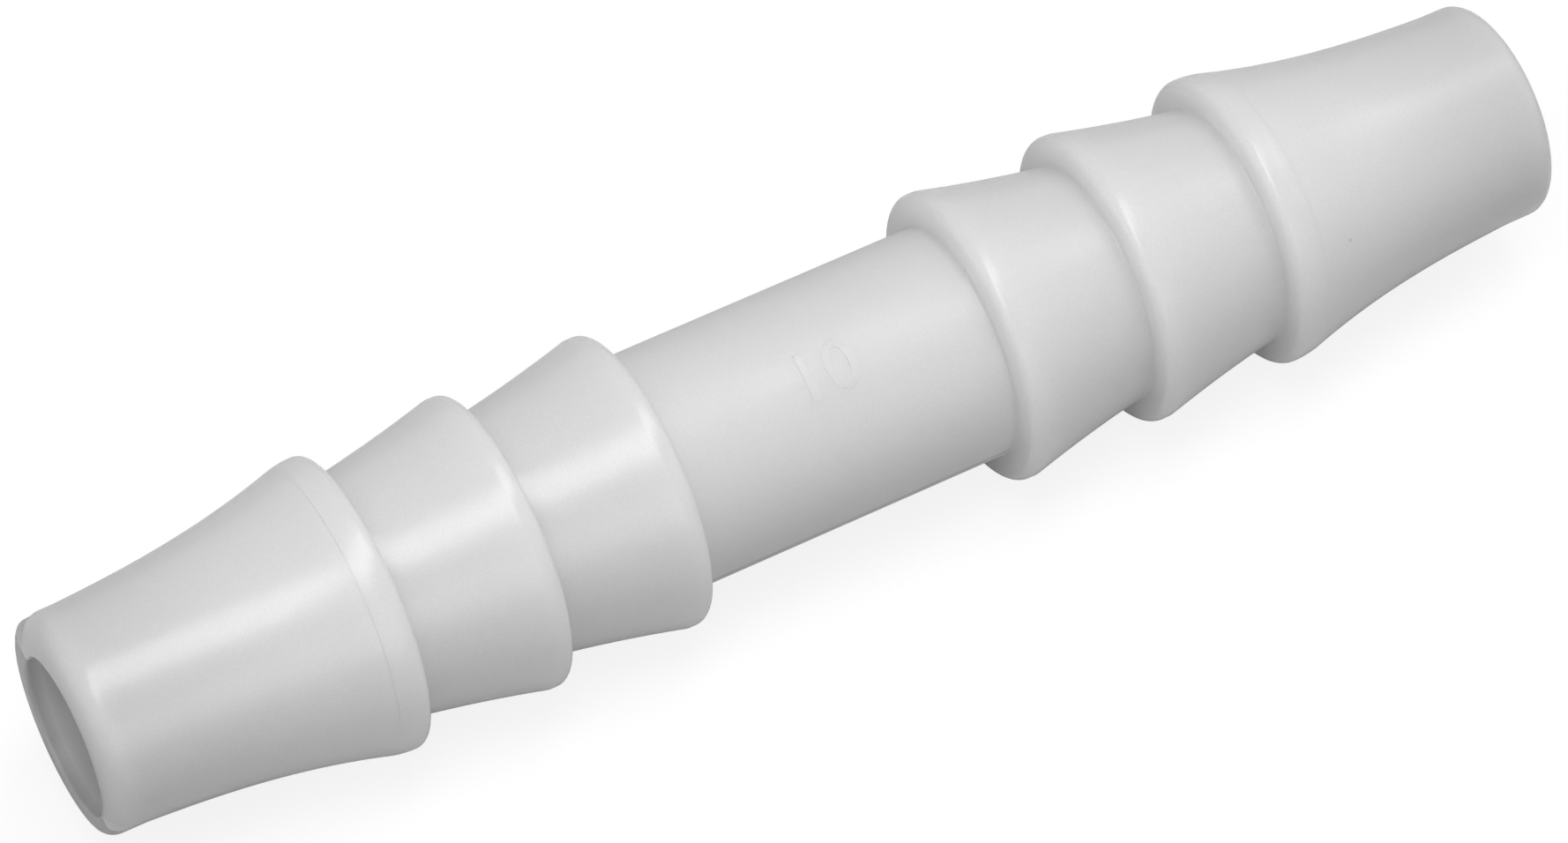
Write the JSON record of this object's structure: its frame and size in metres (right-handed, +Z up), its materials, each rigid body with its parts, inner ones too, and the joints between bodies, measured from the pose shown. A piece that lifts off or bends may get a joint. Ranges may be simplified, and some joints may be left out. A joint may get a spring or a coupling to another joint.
{
  "type": "straight hose connector",
  "caption": "Straight double-ended barbed hose connector in white plastic, with a plain middle, trumpet-shaped noses and a bore right through.",
  "frame": {"origin": "middle of the bore at mid-length", "axes": "+X along the bore towards one end, +Z up with the connector lying on its barbs"},
  "size_m": [0.0622, 0.0118, 0.0118],
  "materials": {
    "connector": "natural white moulded plastic, faintly translucent, with a soft satin sheen"
  },
  "bodies": {
    "root": {"connector": "connector"}
  },
  "joints": []
}
